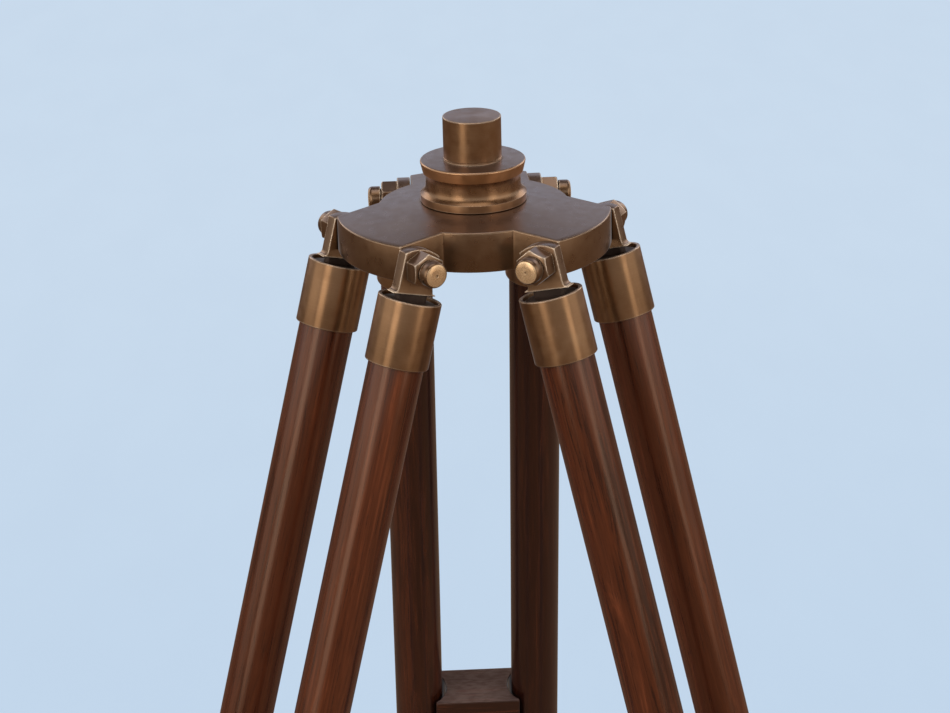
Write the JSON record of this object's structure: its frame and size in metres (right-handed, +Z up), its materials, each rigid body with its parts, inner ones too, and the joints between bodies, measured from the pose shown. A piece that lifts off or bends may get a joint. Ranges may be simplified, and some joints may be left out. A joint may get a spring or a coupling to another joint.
{
  "type": "tripod stand",
  "caption": "Floor-standing wooden tripod for a small telescope: lobed brass head with collar and spigot, folding twin-pole legs and sliding lower poles.",
  "frame": {"origin": "centre of the spigot's flat top face", "axes": "+Z up along the spigot, +Y towards the rear leg's lobe, -Y towards the side between the two front legs"},
  "size_m": [0.4815, 0.4241, 0.8579],
  "materials": {
    "antique_brass": "dark antique patina with bright worn edges",
    "polished_brass": "semi-polished, worn by handling",
    "stained_wood": "dark reddish-brown stain under satin varnish"
  },
  "bodies": {
    "head": {"head_plate": "antique_brass", "collar": "antique_brass", "spigot": "antique_brass", "shank_washer": "antique_brass", "shank_nut": "antique_brass", "rear_pivot_rod": "antique_brass", "rear_cap_nut_a": "polished_brass", "rear_cap_nut_b": "polished_brass", "left_pivot_rod": "antique_brass", "left_cap_nut_a": "polished_brass", "left_cap_nut_b": "polished_brass", "right_pivot_rod": "antique_brass", "right_cap_nut_a": "polished_brass", "right_cap_nut_b": "polished_brass"},
    "leg_rear": {"rear_lug_a": "antique_brass", "rear_ferrule_a": "antique_brass", "rear_upper_pole_a": "stained_wood", "rear_lug_b": "antique_brass", "rear_ferrule_b": "antique_brass", "rear_upper_pole_b": "stained_wood", "rear_clamp_block": "stained_wood", "rear_screw_bush": "antique_brass"},
    "slider_rear": {"rear_carriage_block": "stained_wood", "rear_lower_pole": "stained_wood", "rear_foot_shoe": "antique_brass"},
    "screw_rear": {"rear_thumb_screw": "antique_brass"},
    "leg_left": {"left_lug_a": "antique_brass", "left_ferrule_a": "antique_brass", "left_upper_pole_a": "stained_wood", "left_lug_b": "antique_brass", "left_ferrule_b": "antique_brass", "left_upper_pole_b": "stained_wood", "left_clamp_block": "stained_wood", "left_screw_bush": "antique_brass"},
    "slider_left": {"left_carriage_block": "stained_wood", "left_lower_pole": "stained_wood", "left_foot_shoe": "antique_brass"},
    "screw_left": {"left_thumb_screw": "antique_brass"},
    "leg_right": {"right_lug_a": "antique_brass", "right_ferrule_a": "antique_brass", "right_upper_pole_a": "stained_wood", "right_lug_b": "antique_brass", "right_ferrule_b": "antique_brass", "right_upper_pole_b": "stained_wood", "right_clamp_block": "stained_wood", "right_screw_bush": "antique_brass"},
    "slider_right": {"right_carriage_block": "stained_wood", "right_lower_pole": "stained_wood", "right_foot_shoe": "antique_brass"},
    "screw_right": {"right_thumb_screw": "antique_brass"}
  },
  "joints": [
    {"name": "fold_rear", "type": "hinge", "parent": "head", "child": "leg_rear", "pos_m": [0, 0.0508, -0.05419], "axis": [-1, 0, 0], "range_deg": [-14, 14]},
    {"name": "slide_rear", "type": "slide", "parent": "leg_rear", "child": "slider_rear", "axis": [0, 0.2419, -0.9703], "range_m": [-0.078, 0.288]},
    {"name": "screw_turn_rear", "type": "hinge", "parent": "leg_rear", "child": "screw_rear", "pos_m": [0, 0.21119, -0.69749], "axis": [0, 0.9703, 0.2419], "range_deg": [0, 360]},
    {"name": "fold_left", "type": "hinge", "parent": "head", "child": "leg_left", "pos_m": [-0.04399, -0.0254, -0.05419], "axis": [0.5, -0.866, 0], "range_deg": [-14, 15.9]},
    {"name": "slide_left", "type": "slide", "parent": "leg_left", "child": "slider_left", "axis": [-0.2373, -0.137, -0.9617], "range_m": [-0.0853, 0.2807]},
    {"name": "screw_turn_left", "type": "hinge", "parent": "leg_left", "child": "screw_left", "pos_m": [-0.2013, -0.11622, -0.69182], "axis": [-0.8329, -0.4809, 0.274], "range_deg": [0, 360]},
    {"name": "fold_right", "type": "hinge", "parent": "head", "child": "leg_right", "pos_m": [0.04399, -0.0254, -0.05419], "axis": [0.5, 0.866, 0], "range_deg": [-14, 14.4]},
    {"name": "slide_right", "type": "slide", "parent": "leg_right", "child": "slider_right", "axis": [0.2154, -0.1243, -0.9686], "range_m": [-0.0795, 0.2865]},
    {"name": "screw_turn_right", "type": "hinge", "parent": "leg_right", "child": "screw_right", "pos_m": [0.18679, -0.10784, -0.69636], "axis": [0.8388, -0.4843, 0.2487], "range_deg": [0, 360]}
  ]
}
